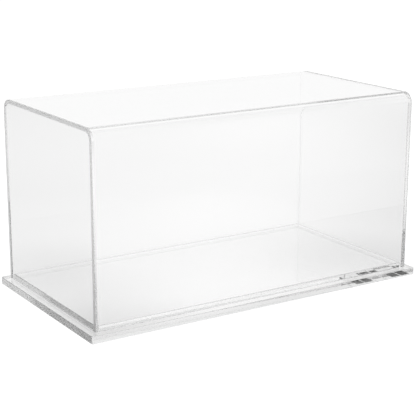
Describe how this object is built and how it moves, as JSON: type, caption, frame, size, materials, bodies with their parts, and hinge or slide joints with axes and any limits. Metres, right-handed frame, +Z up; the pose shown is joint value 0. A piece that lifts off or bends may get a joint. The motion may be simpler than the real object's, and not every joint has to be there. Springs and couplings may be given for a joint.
{
  "type": "acrylic display case",
  "caption": "Clear rectangular display case: a bent-sheet cover with flush end panels lifts off a flat base plate that has a raised locating plate.",
  "frame": {"origin": "centre of the underside of the base plate", "axes": "+Z up, +X along the length of the case, the front faces -Y"},
  "size_m": [0.312, 0.166, 0.158],
  "materials": {
    "clear_sheet": "clear cast acrylic sheet, 3 mm, gloss faces, scraped cut edges",
    "clear_plate": "clear cast acrylic plate, gloss faces, polished cut edges"
  },
  "bodies": {
    "base": {"base_plate": "clear_plate", "locating_plate": "clear_plate"},
    "cover": {"cover_wrap": "clear_sheet", "left_end_panel": "clear_sheet", "right_end_panel": "clear_sheet"}
  },
  "joints": [
    {"name": "cover_lift", "type": "slide", "parent": "base", "child": "cover", "axis": [0, 0, 1], "range_m": [0, 0.16]}
  ]
}
